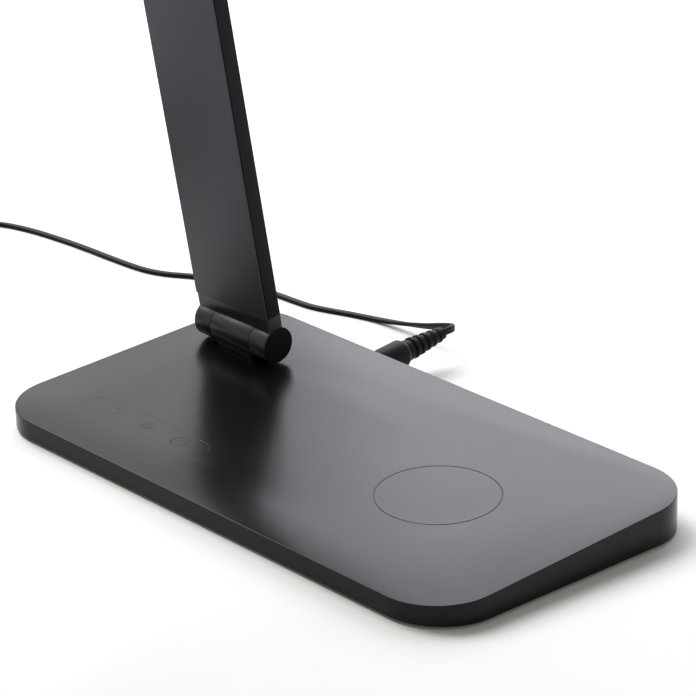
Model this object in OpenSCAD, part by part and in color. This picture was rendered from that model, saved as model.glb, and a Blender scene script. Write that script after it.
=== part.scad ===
// Folding LED desk lamp on a flat wedge base with a wireless charging spot.
// Millimetres. +Z is up and the user sits at -Y. The origin is the centre of
// the rest pad's underside, so the whole lamp stands on z = 0.

/* [Base] */
// Length of the base from side to side
base_l = 200; // [196:1:220]
// Depth of the base from front to back
base_w = 110; // [108:1:120]
// Height of the front wall
front_h = 6.2; // [6.2:0.1:7]
// Height of the back wall
back_h = 12.3; // [12.3:0.1:13]
// Radius of the corners seen from above
corner_r = 20; // [16:1:24]
// Rounding of the top edge
edge_r = 0.4; // [0.2:0.1:0.8]
// Thickness of the rest pad, which lifts the cover off the table
pad_h = 1; // [0.8:0.1:1.2]
// Thickness of the cover's top
top_t = 1.8; // [1.6:0.1:1.9]
// Thickness of the cover's walls
wall = 2; // [1.6:0.1:2.4]

/* [Hinges] */
// Place of the lower hinge along the base
hinge_x = -72.5; // [-76:0.5:-70]
// Place of the lower hinge across the base
hinge_y = 26.6; // [24:0.1:28]
// Height of the lower hinge's axis above the table
hinge_z = 18.3; // [18.2:0.1:20]
// Radius of the hinge barrels
barrel_r = 6; // [5.8:0.1:6.2]
// Width of the gap between the outer knuckles
gap_w = 19; // [18:0.5:20]
// Radius of the hinge pins
pin_r = 2.5; // [2.3:0.1:2.6]

/* [Arm] */
// Distance between the two hinge axes
arm_l = 330; // [280:5:360]
// Width of the arm
arm_w = 34; // [33:0.5:36]
// Thickness of the arm
arm_t = 6.3; // [6.1:0.1:6.6]
// Forward lean of the arm at rest, in degrees from upright
lean = 11.67; // [8:0.01:15]
// Thickness of the arm's front plate
front_t = 0.9; // [0.8:0.1:1.1]
// Distance from a hinge axis to the end of the arm's plates
yoke_z = 10.4; // [10:0.1:12]

/* [Head] */
// Width of the head
head_w = 40; // [38:1:46]
// Thickness of the head
head_t = 9; // [8.6:0.1:10]
// Reach of the head from the upper hinge's axis
head_reach = 260; // [220:5:280]

/* [Charging and touch] */
// Place of the charging spot along the base
charge_x = 46.4; // [42:0.1:50]
// Place of the charging spot across the base
charge_y = -2.1; // [-5:0.1:2]
// Radius of the ring that marks the charging spot
charge_r = 18.9; // [17:0.1:20]
// Place of the touch panel along the base
touch_x = -51.4; // [-54:0.1:-48]
// Place of the touch panel across the base
touch_y = -32.1; // [-33:0.1:-31]
// Length of the touch panel's outline
touch_l = 55; // [48:1:58]
// Width of the touch panel's outline
touch_w = 10.6; // [9:0.1:11]

/* [Power lead] */
// Place of the power jack along the back wall
jack_x = -41; // [-44:0.5:-40]
// Height of the jack's axis at the back wall
jack_z = 7.6; // [7.5:0.1:7.8]
// Upward tilt of the jack and the plug, in degrees
jack_tilt = 6.6; // [6:0.1:7]
// Width of the flat lead
lead_w = 2.6; // [2.5:0.1:2.8]
// Thickness of the flat lead
lead_t = 1.35; // [1.3:0.05:1.5]
// Turns in each layer of the coiled lead
coil_turns = 6; // [4:1:6]

/* [Hidden] */
$fn = 48;
eps = 0.01;

// Base: the top is a plane that rises to the back by this slope
slope = atan((back_h - front_h) / base_w);
slope_w = base_w / cos(slope);
slab_h = 20;
pad_size = [184, 94];
pad_r = 14;
plate_t = 1.6;
plate_top = pad_h + plate_t;
plate_gap = 0.4;
screw_r = 1.25;
head_cone_r = 2.2;
head_cone_h = 0.95;
screw_gap = 0.1;
plate_screw_l = 4.4;
plate_screws_at = [[-88, -42], [88, -42], [-88, 43], [88, 43], [0, -46], [24, 46]];
boss_r = 3;
ballast_t = 2.4;
groove_w = 0.45;
groove_d = 0.3;

// Inside the base: charging coil, boards and the clear room round them
wire_r = [10, 21.5];
wire_t = 1.2;
fence_r = [22, 23.2];
fence_h = 1;
shield_l = 46;
shield_t = 0.8;
board_at = [-54, 26];
board_size = [60, 25, 1];
supports_at = [[-51, 28], [2, 28], [-51, 48], [2, 48]];
support_h = 1;
chips = [[-22, 32, 7, 3], [-10, 33, 5, 1]];
capacitors_at = [[-28, 44], [-1, 44]];
touch_board_size = [60, 13, 0.8];
jack_body = [9, 6.6, 12];

// Hinges
knuckle_w = gap_w - 0.4;
outer_w = (arm_w - gap_w) / 2;
run_gap = 0.05;
post_w = 16;
post_d = 7;
post_room = 0.3;
foot = [30, 22, 3];
post_screws_at = [[-11.5, -7], [11.5, -7], [-11.5, 7], [11.5, 7]];
bore_r = 4.6;
bore_floor = 13.4;
disc_t = 0.75;
disc_recess = 0.6;
disc_seat_r = 4.7;
cap_t = 1.1;
nut_t = 1.2;

// Arm
tang_front = 0.5;
tang_back = 0.4;
side_t = 1.5;
back_t = 1.2;
seam_y = -arm_t / 2 + front_t;
insert_w = arm_w - 2 * side_t - 0.2;
insert_t = arm_t - front_t - back_t - 0.2;
insert_l = 24;
lead_x = -14.2;
yoke_screws_at = [[-8, 8], [8, 8], [-8, 18], [8, 18]];
head_pivot = [hinge_x, hinge_y - arm_l * sin(lean), hinge_z + arm_l * cos(lean)];

// Head, in a frame with its origin on the upper hinge's axis
head_z = 3.4;
head_near = 7.5;
head_wall = 1.6;
led_near = 38;
led_l = head_reach - head_wall - led_near;
led_y = -(led_near + led_l / 2);
leds_in_row = 14;
board_z = head_z + head_t - head_wall - 1;
tongue_t = 2.6;
tongue_l = 34;
head_screws_at = [-14, -27];

// Plug: its grip and relief along the jack's axis
socket_r = 2.8;
grip_end = 14.1;
relief_end = 31;
relief_ribs = 5;
rib_pitch = 2.85;

// Lead: from the plug's strain relief over the table to the coil. Each point is
// [x, y, z, twist], and a twist of 90 stands the flat lead on its edge.
run_path = [
    [-41, 85.8, 11.16, 90], [-41, 88.6, 11.35, 90], [-41.7, 91.2, 11.1, 90],
    [-43.7, 93.4, 10.4, 86], [-47, 94.7, 9.3, 78], [-51.5, 95.2, 7.9, 66],
    [-56.5, 95.6, 6.3, 52], [-61.8, 96.1, 4.8, 36], [-67.6, 96.6, 3.35, 20],
    [-74, 96.6, 2.05, 8], [-80, 96, 1.2, 0], [-86, 94.7, 0.82, 0],
    [-93, 92.3, 0.72, 0], [-99, 89.8, 0.72, 0], [-106, 87.4, 0.72, 0],
    [-114, 86.5, 0.72, 0], [-122, 86, 0.72, 0], [-132, 84.5, 0.72, 0],
    [-143, 81.5, 0.72, 0], [-154, 76, 0.72, 0], [-163, 69.8, 0.72, 0],
    [-172, 66.6, 0.72, 0], [-187, 65.3, 0.72, 0], [-199, 64.8, 0.72, 0],
    [-211, 63.9, 0.72, 0], [-228, 61.5, 0.72, 0], [-241, 57, 0.85, 10],
    [-250.5, 49, 1.2, 40], [-256, 38, 1.5, 75], [-258, 27, 1.7, 90],
    [-258.2, 18, 1.75, 90], [-258.2, 11.5, 1.75, 90]
];
tail_path = [
    [-213, 11.5, 4.85, 90], [-213, 17, 4.6, 90], [-212, 20.9, 3.7, 90],
    [-209.1, 23.7, 2.6, 90], [-205.25, 24.75, 1.9, 90], [-201.4, 23.7, 1.9, 90],
    [-198.5, 20.9, 3, 90], [-197.5, 17, 4.6, 90], [-197.5, 11.5, 5.8, 90],
    [-197.5, 7, 6, 90]
];
lead_cut = [lead_w - 0.2, lead_t - 0.1];

// Coil of the spare lead: two layers on edge, inwards below and outwards above
coil_at = [-235, 8];
coil_mid = [1.75, 4.85];
coil_pitch = 2.4;
coil_r0 = 23.2;
coil_r1 = coil_r0 - coil_pitch * coil_turns;
coil_out = coil_turns - 0.5;
coil_rings = 24;
coil_cut = [1.3, 2.4];
coil_end = 3.5;

// Mains adaptor, lying on its back with its blades up
case_at = [-197.5, -45];
case_size = [44, 68, 28];
case_split = 19;
blade = [1.5, 6.3, 17];
blade_gap = 12.7;

// ---------- shared shapes ----------

// Rounded rectangle about the origin
module round_rect(l, w, r) {
    square([l - 2 * r, w], center = true);
    square([l, w - 2 * r], center = true);
    for (sx = [-1, 1], sy = [-1, 1])
        translate([sx * (l / 2 - r), sy * (w / 2 - r)])
            circle(r);
}

// Side view of a wall of height h whose outer top corner is rounded by e
module edge_profile(x, h, e) {
    square([x - e, h]);
    square([x, h - e]);
    translate([x - e, h - e])
        circle(e);
}

// Slab with round corners r and a top edge rounded by e
module round_slab(l, w, r, h, e) {
    for (mx = [0, 1], my = [0, 1])
        mirror([mx, 0, 0])
            mirror([0, my, 0])
                translate([l / 2 - r, w / 2 - r, 0])
                    rotate_extrude(angle = 90)
                        edge_profile(r, h, e);
    for (my = [0, 1])
        mirror([0, my, 0])
            translate([r - l / 2, w / 2 - r, 0])
                rotate([90, 0, 90])
                    linear_extrude(l - 2 * r)
                        edge_profile(r, h, e);
    for (mx = [0, 1])
        mirror([mx, 0, 0])
            translate([l / 2 - r, w / 2 - r, 0])
                rotate([90, 0, 0])
                    linear_extrude(w - 2 * r)
                        edge_profile(r, h, e);
    translate([r - l / 2, r - w / 2, 0])
        cube([l - 2 * r, w - 2 * r, h]);
}

// Rod of radius r along X from x0 to x1
module x_rod(r, x0, x1) {
    translate([x0, 0, 0])
        rotate([0, 90, 0])
            cylinder(r = r, h = x1 - x0);
}

// Ring along X
module x_ring(r_out, r_in, x0, x1) {
    difference() {
        x_rod(r_out, x0, x1);
        x_rod(r_in, x0 - 1, x1 + 1);
    }
}

// Countersunk screw standing on its head, or the hole that takes it
module screw(length, gap = 0) {
    cylinder(r1 = head_cone_r + gap, r2 = screw_r + gap, h = head_cone_h);
    cylinder(r = screw_r + gap, h = length + gap);
}

// Both ends of something that is symmetric about x = 0
module both_ends() {
    children();
    mirror([1, 0, 0])
        children();
}

// Frames: the sloping top, the jack's axis, the arm and the head
module on_top() {
    translate([0, 0, pad_h + (front_h + back_h) / 2])
        rotate([slope, 0, 0])
            children();
}
module on_jack() {
    translate([jack_x, base_w / 2, jack_z])
        rotate([jack_tilt - 90, 0, 0])
            children();
}
module on_arm(z = 0) {
    translate([hinge_x, hinge_y, hinge_z])
        rotate([lean, 0, 0])
            translate([0, 0, z])
                children();
}
module on_upper_end() {
    on_arm(arm_l)
        mirror([0, 0, 1])
            children();
}
module on_head() {
    translate(head_pivot)
        children();
}

// Height of the base's top above the table at a given y
function top_at(y) = pad_h + front_h + (y + base_w / 2) * tan(slope);

// ---------- base ----------

module cover_solid() {
    on_top()
        translate([0, 0, -slab_h])
            round_slab(base_l, slope_w, corner_r, slab_h, edge_r);
}

module cover_cavity() {
    on_top()
        translate([0, 0, -slab_h - top_t])
            linear_extrude(slab_h)
                round_rect(base_l - 2 * wall, slope_w - 2 * wall, corner_r - wall);
}

// Screw bosses, and a low fence that locates the charging coil
module cover_bosses() {
    for (p = plate_screws_at)
        translate([p[0], p[1], plate_top])
            cylinder(r = boss_r, h = top_at(p[1]) - top_t / 2 - plate_top);
    on_top()
        translate([charge_x, charge_y, -top_t - fence_h])
            difference() {
                cylinder(r = fence_r[1], h = fence_h + 0.5);
                translate([0, 0, -1])
                    cylinder(r = fence_r[0], h = 4);
            }
}

// Fine grooves in the top: the charging ring and the touch panel's outline
module top_grooves() {
    on_top()
        translate([charge_x, charge_y, -groove_d])
            difference() {
                cylinder(r = charge_r + groove_w / 2, h = 1, $fn = 96);
                translate([0, 0, -1])
                    cylinder(r = charge_r - groove_w / 2, h = 3, $fn = 96);
            }
    on_top()
        translate([touch_x, touch_y, -groove_d])
            linear_extrude(1)
                difference() {
                    touch_outline(groove_w / 2);
                    touch_outline(-groove_w / 2);
                }
}

module touch_outline(grow) {
    end_r = touch_w / 2;
    square([touch_l - touch_w, touch_w + 2 * grow], center = true);
    for (s = [-1, 1])
        translate([s * (touch_l / 2 - end_r), 0])
            circle(end_r + grow);
}

module base_cover() color("#2b2b2d") {
    difference() {
        union() {
            difference() {
                cover_solid();
                cover_cavity();
            }
            cover_bosses();
        }
        translate([-base_l, -base_w, pad_h - 40])
            cube([2 * base_l, 2 * base_w, 40]);
        translate([hinge_x - post_w / 2 - post_room, hinge_y - post_d / 2 - post_room, plate_top])
            cube([post_w + 2 * post_room, post_d + 2 * post_room, 20]);
        on_jack()
            translate([0, 0, -6])
                cylinder(r = 3.25, h = 10);
        for (p = plate_screws_at)
            translate([p[0], p[1], 0])
                cylinder(r = screw_r + screw_gap, h = pad_h + plate_screw_l + 0.2);
        top_grooves();
    }
}

// Flat steel plate that closes the base, with four raised board supports
module base_plate() color("#5b5d60") {
    difference() {
        union() {
            translate([0, 0.5, pad_h])
                linear_extrude(plate_t)
                    round_rect(base_l - 2 * wall - 2 * plate_gap,
                        base_w - 2 * wall - 2 * plate_gap,
                        corner_r - wall - plate_gap);
            for (p = supports_at)
                translate([p[0], p[1], plate_top - eps])
                    cylinder(r = 2, h = support_h + eps);
        }
        for (p = plate_screws_at)
            translate([p[0], p[1], pad_h - eps])
                screw(10, screw_gap);
        for (p = post_screws_at)
            translate([hinge_x + p[0], hinge_y + p[1], pad_h - eps])
                screw(10, screw_gap);
    }
}

// Soft pad under the plate, with its lower edge eased
module rest_pad() color("#1a1a1b") {
    ease = 0.3;
    linear_extrude(ease)
        round_rect(pad_size[0] - 2 * ease, pad_size[1] - 2 * ease, pad_r - ease);
    translate([0, 0, ease])
        linear_extrude(pad_h - ease)
            round_rect(pad_size[0], pad_size[1], pad_r);
}

module plate_screws() color("#8a8c8f")
    for (p = plate_screws_at)
        translate([p[0], p[1], pad_h])
            screw(plate_screw_l);

// Extra steel that keeps the lamp upright, cut clear of the electronics
module ballast_plate() color("#6d7073") {
    coil_room = 30;
    foot_room = foot + [4, 4, 0];
    difference() {
        translate([0, 0, plate_top])
            linear_extrude(ballast_t)
                round_rect(160, 80, 10);
        translate([charge_x, charge_y, 0])
            cylinder(r = coil_room, h = 10);
        translate([hinge_x - foot_room[0] / 2, hinge_y - foot_room[1] / 2, 0])
            cube([foot_room[0], base_w, 10]);
        translate([hinge_x, board_at[1] - 1, 0])
            cube([board_at[0] + board_size[0] - hinge_x + 3.5, base_w, 10]);
    }
}

// Flat spiral of copper wire, drawn as its outline
module charge_coil() color("#b4683a")
    on_top()
        translate([charge_x, charge_y, -top_t - wire_t])
            difference() {
                cylinder(r = wire_r[1], h = wire_t);
                translate([0, 0, -1])
                    cylinder(r = wire_r[0], h = 4);
            }

module coil_shield() color("#3c3d40")
    on_top()
        translate([charge_x, charge_y, -top_t - wire_t - shield_t])
            linear_extrude(shield_t)
                round_rect(shield_l, shield_l, 4);

// Circuit board round the jack, with its chips and capacitors
module main_board() color("#1f5c3a") {
    board_top = plate_top + support_h + board_size[2];
    difference() {
        translate([board_at[0], board_at[1], board_top - board_size[2]])
            cube(board_size);
        translate([jack_x - jack_body[0] / 2 - 0.3, base_w / 2 - 16.5, 0])
            cube([jack_body[0] + 0.6, 20, 20]);
    }
    for (c = chips)
        translate([c[0], c[1], board_top - eps])
            cube([c[2], c[2], c[3]]);
    for (p = capacitors_at)
        translate([p[0], p[1], board_top - eps])
            cylinder(r = 2, h = 4);
}

module touch_board() color("#1f5c3a")
    on_top()
        translate([touch_x, touch_y, -top_t - touch_board_size[2]])
            linear_extrude(touch_board_size[2])
                round_rect(touch_board_size[0], touch_board_size[1], 2);

// Low jack: a block with a round socket and its centre pin
module dc_jack() color("#202022")
    on_jack() {
        difference() {
            translate([-jack_body[0] / 2, -jack_body[1] / 2, -jack_body[2] - 2])
                cube(jack_body);
            translate([0, 0, -jack_body[2]])
                cylinder(r = socket_r, h = 20);
        }
        translate([0, 0, -jack_body[2] - 1])
            cylinder(r = 1, h = 9.5);
    }

// ---------- lower hinge ----------

// Post with a foot, which holds the centre knuckle
module hinge_post() color("#2a2a2c") {
    difference() {
        union() {
            translate([hinge_x - foot[0] / 2, hinge_y - foot[1] / 2, plate_top])
                cube(foot);
            translate([hinge_x - post_w / 2, hinge_y - post_d / 2, plate_top])
                cube([post_w, post_d, hinge_z - plate_top]);
            translate([hinge_x, hinge_y, hinge_z])
                x_rod(barrel_r, -knuckle_w / 2, knuckle_w / 2);
        }
        translate([hinge_x, hinge_y, hinge_z])
            centre_bores();
        translate([hinge_x, hinge_y, plate_top - 1])
            cylinder(r = 1.5, h = hinge_z - plate_top);
        for (p = post_screws_at)
            translate([hinge_x + p[0], hinge_y + p[1], plate_top - 1])
                cylinder(r = screw_r + screw_gap, h = 3.7);
    }
}

// Bore and friction disc recesses of a centre knuckle
module centre_bores() {
    x_rod(pin_r + run_gap, -knuckle_w, knuckle_w);
    both_ends()
        x_rod(disc_seat_r, knuckle_w / 2 - disc_recess, knuckle_w);
}

module post_screws() color("#8a8c8f")
    for (p = post_screws_at)
        translate([hinge_x + p[0], hinge_y + p[1], pad_h])
            screw(plate_t + 2.4);

// Friction discs between the centre knuckle and the outer ones
module friction_discs() color("#c8b26a")
    both_ends()
        x_ring(bore_r, pin_r + run_gap, knuckle_w / 2 - disc_recess,
            knuckle_w / 2 - disc_recess + disc_t);

// Outer knuckle with its outer rim eased
module outer_knuckle(ease = 0.15) {
    translate([gap_w / 2, 0, 0])
        rotate([0, 90, 0])
            rotate_extrude()
                polygon([[0, 0], [barrel_r, 0], [barrel_r, outer_w - ease],
                    [barrel_r - ease, outer_w], [0, outer_w]]);
}

// Fork at an arm end: two outer knuckles, the set-back tang that shows between
// the barrel and the plates, and the insert that the channel slides over
module yoke() color("#2a2a2c") {
    difference() {
        union() {
            both_ends()
                outer_knuckle();
            translate([-arm_w / 2, tang_front - arm_t / 2, 0])
                cube([arm_w, arm_t - tang_front - tang_back, yoke_z]);
            translate([-insert_w / 2, seam_y + 0.1, yoke_z - eps])
                cube([insert_w, insert_t, insert_l]);
        }
        x_rod(barrel_r + 0.3, -gap_w / 2, gap_w / 2);
        translate([-gap_w / 2, -barrel_r * 2, -barrel_r * 2])
            cube([gap_w, barrel_r * 4, barrel_r * 2]);
        x_rod(pin_r + 0.02, -arm_w, arm_w);
        both_ends()
            x_rod(bore_r, bore_floor, arm_w);
        translate([lead_x, 0, 3])
            cylinder(r = 0.8, h = 60);
        for (p = yoke_screws_at)
            translate([p[0], seam_y - 1, yoke_z + p[1]])
                rotate([-90, 0, 0])
                    cylinder(r = screw_r + screw_gap, h = 20);
        for (p = yoke_screws_at)
            translate([p[0], seam_y + 0.1 - eps, yoke_z + p[1]])
                rotate([-90, 0, 0])
                    screw(8, screw_gap);
    }
}

// Hollow pin with its head in the left counterbore
module hinge_pin() color("#8a8c8f") {
    head_t = 2.2;
    tip = 2;
    difference() {
        union() {
            x_rod(bore_r - 0.4, -bore_floor - head_t, -bore_floor);
            x_rod(pin_r, -bore_floor - eps, bore_floor + tip);
        }
        x_rod(1.4, -arm_w, arm_w);
    }
}

// Two cone springs that press the discs together
module cone_springs() color("#b9bbbd") {
    r = [2.65, 4.3];
    t = 0.25;
    for (x = [bore_floor, bore_floor + 2 * t + 0.05])
        translate([x, 0, 0])
            rotate([0, 90, 0])
                rotate_extrude()
                    polygon([[r[0], t], [r[1], 0], [r[1], t], [r[0], 2 * t]]);
}

// Hexagonal nut in the right counterbore
module pin_nut() color("#8a8c8f")
    difference() {
        translate([bore_floor + nut_t - 0.1, 0, 0])
            rotate([0, 90, 0])
                cylinder(r = bore_r - 0.3, h = nut_t, $fn = 6);
        x_rod(pin_r + 0.02, 0, arm_w);
    }

// Caps that close both counterbores, flush with the barrel's ends
module end_caps() color("#232325")
    both_ends()
        x_rod(bore_r - 0.05, arm_w / 2 - cap_t, arm_w / 2);

// ---------- arm ----------

// Back corners rounded, open to the front
module channel_profile() {
    back_r = 0.6;
    difference() {
        union() {
            translate([-arm_w / 2, seam_y])
                square([arm_w, arm_t / 2 - seam_y - back_r]);
            translate([-arm_w / 2 + back_r, seam_y])
                square([arm_w - 2 * back_r, arm_t / 2 - seam_y]);
            for (s = [-1, 1])
                translate([s * (arm_w / 2 - back_r), arm_t / 2 - back_r])
                    circle(back_r);
        }
        translate([side_t - arm_w / 2, seam_y - 1])
            square([arm_w - 2 * side_t, arm_t / 2 - back_t - seam_y + 1]);
    }
}

module arm_channel() color("#2c2c2f")
    on_arm(yoke_z)
        difference() {
            linear_extrude(arm_l - 2 * yoke_z)
                channel_profile();
            for (p = yoke_screws_at, z = [p[1], arm_l - 2 * yoke_z - p[1]])
                translate([p[0], 0, z])
                    rotate([-90, 0, 0])
                        cylinder(r = screw_r + screw_gap, h = arm_t / 2 - 0.3);
        }

// Flat plate over the channel, with a fine shadow groove along each side and
// two ribs that grip inside the channel
module arm_front() color("#3a3a3d") {
    rib = [1.2, 1.3];
    on_arm(yoke_z) {
        linear_extrude(arm_l - 2 * yoke_z)
            difference() {
                translate([-arm_w / 2, -arm_t / 2])
                    square([arm_w, front_t]);
                for (s = [-1, 1])
                    translate([s * arm_w / 2, seam_y])
                        square([0.8, 0.7], center = true);
            }
        for (s = [-1, 1])
            translate([s * (arm_w / 2 - side_t - 0.75) - rib[0] / 2, seam_y - eps, insert_l + 2])
                cube([rib[0], rib[1], arm_l - 2 * yoke_z - 2 * insert_l - 4]);
    }
}

// Supply lead inside the arm
module arm_lead() color("#151516") {
    start = 4.4;
    on_arm(start)
        translate([lead_x, 0, 0])
            cylinder(r = 0.6, h = arm_l - 2 * start);
}

module end_screws()
    for (p = yoke_screws_at)
        translate([p[0], seam_y + 0.1, yoke_z + p[1]])
            rotate([-90, 0, 0])
                screw(arm_t / 2 - 0.4 - seam_y - 0.1);

module yoke_screws() color("#8a8c8f") {
    on_arm()
        end_screws();
    on_upper_end()
        end_screws();
}

// ---------- head ----------

// Housing, open below, with a pocket for the tongue at its near end
module head_shell() color("#2c2c2f")
    on_head()
        difference() {
            translate([0, -(head_near + head_reach) / 2, head_z])
                round_slab(head_w, head_reach - head_near, 5, head_t, 1);
            translate([0, led_y, head_z - 1])
                linear_extrude(1 + head_t - head_wall)
                    round_rect(head_w - 2 * head_wall, led_l, 3.4);
            translate([-knuckle_w / 2 - 0.1, -tongue_l - 0.1, head_z - 1])
                cube([knuckle_w + 0.2, tongue_l, 1 + tongue_t + 0.05]);
            for (y = head_screws_at)
                translate([0, y, head_z])
                    cylinder(r = screw_r + screw_gap, h = 7);
        }

// Tang that carries the head's centre knuckle
module head_tongue() color("#2a2a2c")
    on_head()
        difference() {
            union() {
                x_rod(barrel_r, -knuckle_w / 2, knuckle_w / 2);
                translate([-knuckle_w / 2, -tongue_l, head_z])
                    cube([knuckle_w, tongue_l, tongue_t]);
            }
            centre_bores();
            for (y = head_screws_at)
                translate([0, y, head_z - eps])
                    screw(8, screw_gap);
        }

module head_screws() color("#3a3a3c")
    on_head()
        for (y = head_screws_at)
            translate([0, y, head_z])
                screw(6.5);

// Metal-backed board with two rows of LEDs on its underside
module led_board() color("#e9e7dc")
    on_head() {
        board_w = 35;
        led = [2.8, 3.5, 0.7];
        pitch = (led_l - 16) / leds_in_row;
        translate([-board_w / 2, led_y - led_l / 2 + 1.5, board_z])
            cube([board_w, led_l - 3, 1]);
        for (row = [-1, 1], i = [0 : leds_in_row - 1])
            translate([row * 8 - led[0] / 2, led_y + (i - leds_in_row / 2 + 0.5) * pitch - led[1] / 2,
                board_z - led[2]])
                cube([led[0], led[1], led[2] + eps]);
    }

// White frame between the board and the diffuser
module reflector() color("#f4f4f2")
    on_head()
        translate([0, led_y, head_z + 2])
            linear_extrude(board_z - head_z - 2)
                difference() {
                    round_rect(head_w - 2 * head_wall - 0.4, led_l - 0.4, 3.2);
                    round_rect(head_w - 2 * head_wall - 3.2, led_l - 3.2, 1.8);
                }

module diffuser() color("#f1efe8")
    on_head()
        translate([0, led_y, head_z])
            linear_extrude(2)
                round_rect(head_w - 2 * head_wall - 0.2, led_l - 0.2, 3.3);

// ---------- plug and lead ----------

// Metal sleeve of the plug
module plug_barrel() color("#c9c9cb")
    on_jack()
        difference() {
            translate([0, 0, -9.5])
                cylinder(r = 2.75, h = 9.5 + 1);
            translate([0, 0, -10])
                cylinder(r = 1.1, h = 9);
        }

// Moulded grip, one revolved outline that swells to a shoulder and a cone
module dc_plug() color("#1d1d1f")
    on_jack()
        rotate_extrude()
            polygon([[0, 1], [3.9, 1], [4.35, 1.5], [4.6, 4], [4.65, grip_end - 2.2],
                [3.7, grip_end], [0, grip_end]]);

// Ribbed relief: a tapering core with five rings, flat at the lead's end
module strain_relief() color("#19191b")
    on_jack()
        translate([0, 0, grip_end]) {
            cylinder(r1 = 3.3, r2 = 2.1, h = relief_end - grip_end);
            cylinder(r = 3.6, h = 0.9);
            for (i = [0 : relief_ribs - 1])
                translate([0, 0, 2.5 + rib_pitch * i])
                    rib_ring(3.65 - 0.28 * i);
        }

module rib_ring(r)
    rotate_extrude()
        polygon([[0, 0], [r - 0.25, 0], [r, 0.25], [r, 1.25], [r - 0.25, 1.5], [0, 1.5]]);

// --- tube swept along points: [x, y, z, twist] ---

// Point between b and c on the smooth curve through a, b, c and d
function spline(a, b, c, d, t) =
    ((2 * b) + (c - a) * t + (2 * a - 5 * b + 4 * c - d) * t * t
        + (3 * b - a - 3 * c + d) * t * t * t) / 2;
function at(p, i) = p[max(0, min(len(p) - 1, i))];
function smooth(p, steps) = [
    for (i = [0 : len(p) - 2], s = [0 : steps - 1])
        spline(at(p, i - 1), p[i], p[i + 1], at(p, i + 2), s / steps),
    p[len(p) - 1]
];
function xyz(q) = [q[0], q[1], q[2]];
function unit(v) = v / norm(v);
function heading(p, i) = unit(xyz(at(p, i + 1)) - xyz(at(p, i - 1)));

// One ring of n points round centre c, its wide side turned by the twist
function ring(c, t, twist, size, n) =
    let(side = unit(cross([0, 0, 1], t)))
    let(up = cross(t, side))
    let(wide = side * cos(twist) + up * sin(twist))
    let(thin = up * cos(twist) - side * sin(twist))
    [for (k = [0 : n - 1])
        let(a = 360 * (k + 0.5) / n)
        c + wide * (size[0] / 2 * cos(a) / cos(180 / n))
            + thin * (size[1] / 2 * sin(a) / (n % 4 == 0 ? cos(180 / n) : 1))];

function tube_faces(rings, n) = concat(
    [for (i = [0 : rings - 2], k = [0 : n - 1], half = [0, 1])
        let(a = i * n + k)
        let(b = i * n + (k + 1) % n)
        half == 0 ? [a, b + n, b] : [a, a + n, b + n]],
    [for (k = [1 : n - 2]) [0, k, k + 1]],
    [for (k = [1 : n - 2])
        let(e = (rings - 1) * n)
        [e, e + k + 1, e + k]]
);

module tube(p, headings, size, n)
    polyhedron(
        points = [for (i = [0 : len(p) - 1]) each ring(xyz(p[i]), headings[i], p[i][3], size, n)],
        faces = tube_faces(len(p), n)
    );

module free_lead(path, first, last) {
    p = smooth(path, 2);
    turns = [for (i = [0 : len(p) - 1])
        i == 0 ? first : i == len(p) - 1 ? last : heading(p, i)];
    tube(p, turns, lead_cut, 8);
}

module cord_run() color("#1c1c1e")
    free_lead(run_path, [0, cos(jack_tilt), sin(jack_tilt)], [0, -1, 0]);

module cord_tail() color("#1c1c1e")
    free_lead(tail_path, [0, 1, 0], [0, -1, 0]);

// --- coil ---

// Place on the coil after a turns, counted from its lower outer end
function ease(t) = t <= 0 ? 0 : t >= 1 ? 1 : t * t * t * (t * (6 * t - 15) + 10);
function coil_r(a) = coil_r1 + coil_pitch * abs(a - coil_turns);
function coil_z(a) = coil_mid[0] + (coil_mid[1] - coil_mid[0]) * ease(2 * (a - coil_turns) + 0.5);
function coil_pt(a) = [
    coil_at[0] + coil_r(a) * cos(180 + 360 * a),
    coil_at[1] + coil_r(a) * sin(180 + 360 * a),
    coil_z(a), 90
];
coil_last = coil_turns + coil_out;
coil_loops = [for (i = [0 : coil_rings * coil_last]) coil_pt(i / coil_rings)];
coil_path = concat(
    [coil_loops[0] + [0, coil_end, 0, 0]],
    coil_loops,
    [coil_loops[len(coil_loops) - 1] + [0, coil_end, 0, 0]]
);

module cord_coil() color("#1c1c1e") {
    last = len(coil_path) - 1;
    turns = [for (i = [0 : last])
        i <= 1 ? [0, -1, 0] : i >= last - 1 ? [0, 1, 0] : heading(coil_path, i)];
    tube(coil_path, turns, [coil_cut[1], coil_cut[0]], 6);
}

// Least gap between turns, from the rings' centres and the section's size
function gap(a, b) =
    let(flat = norm([a[0] - b[0], a[1] - b[1]]) - coil_cut[0])
    let(high = abs(a[2] - b[2]) - coil_cut[1])
    norm([max(0, flat), max(0, high)]);
far_rings = coil_rings / 2;
coil_gap = min([
    for (i = [0 : len(coil_path) - 1])
        for (j = [i + far_rings : 1 : len(coil_path) - 1])
            gap(coil_path[i], coil_path[j])
]);
function run_length(p) = len(p) < 2 ? 0
    : [for (i = 0, s = 0; i < len(p); s = s + (i < len(p) - 1 ? norm(xyz(p[i + 1]) - xyz(p[i])) : 0),
        i = i + 1) s][len(p) - 1];
echo(coil_gap = coil_gap);
echo(coil_length = run_length(coil_path), run = run_length(smooth(run_path, 2)),
    tail = run_length(smooth(tail_path, 2)));

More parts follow.
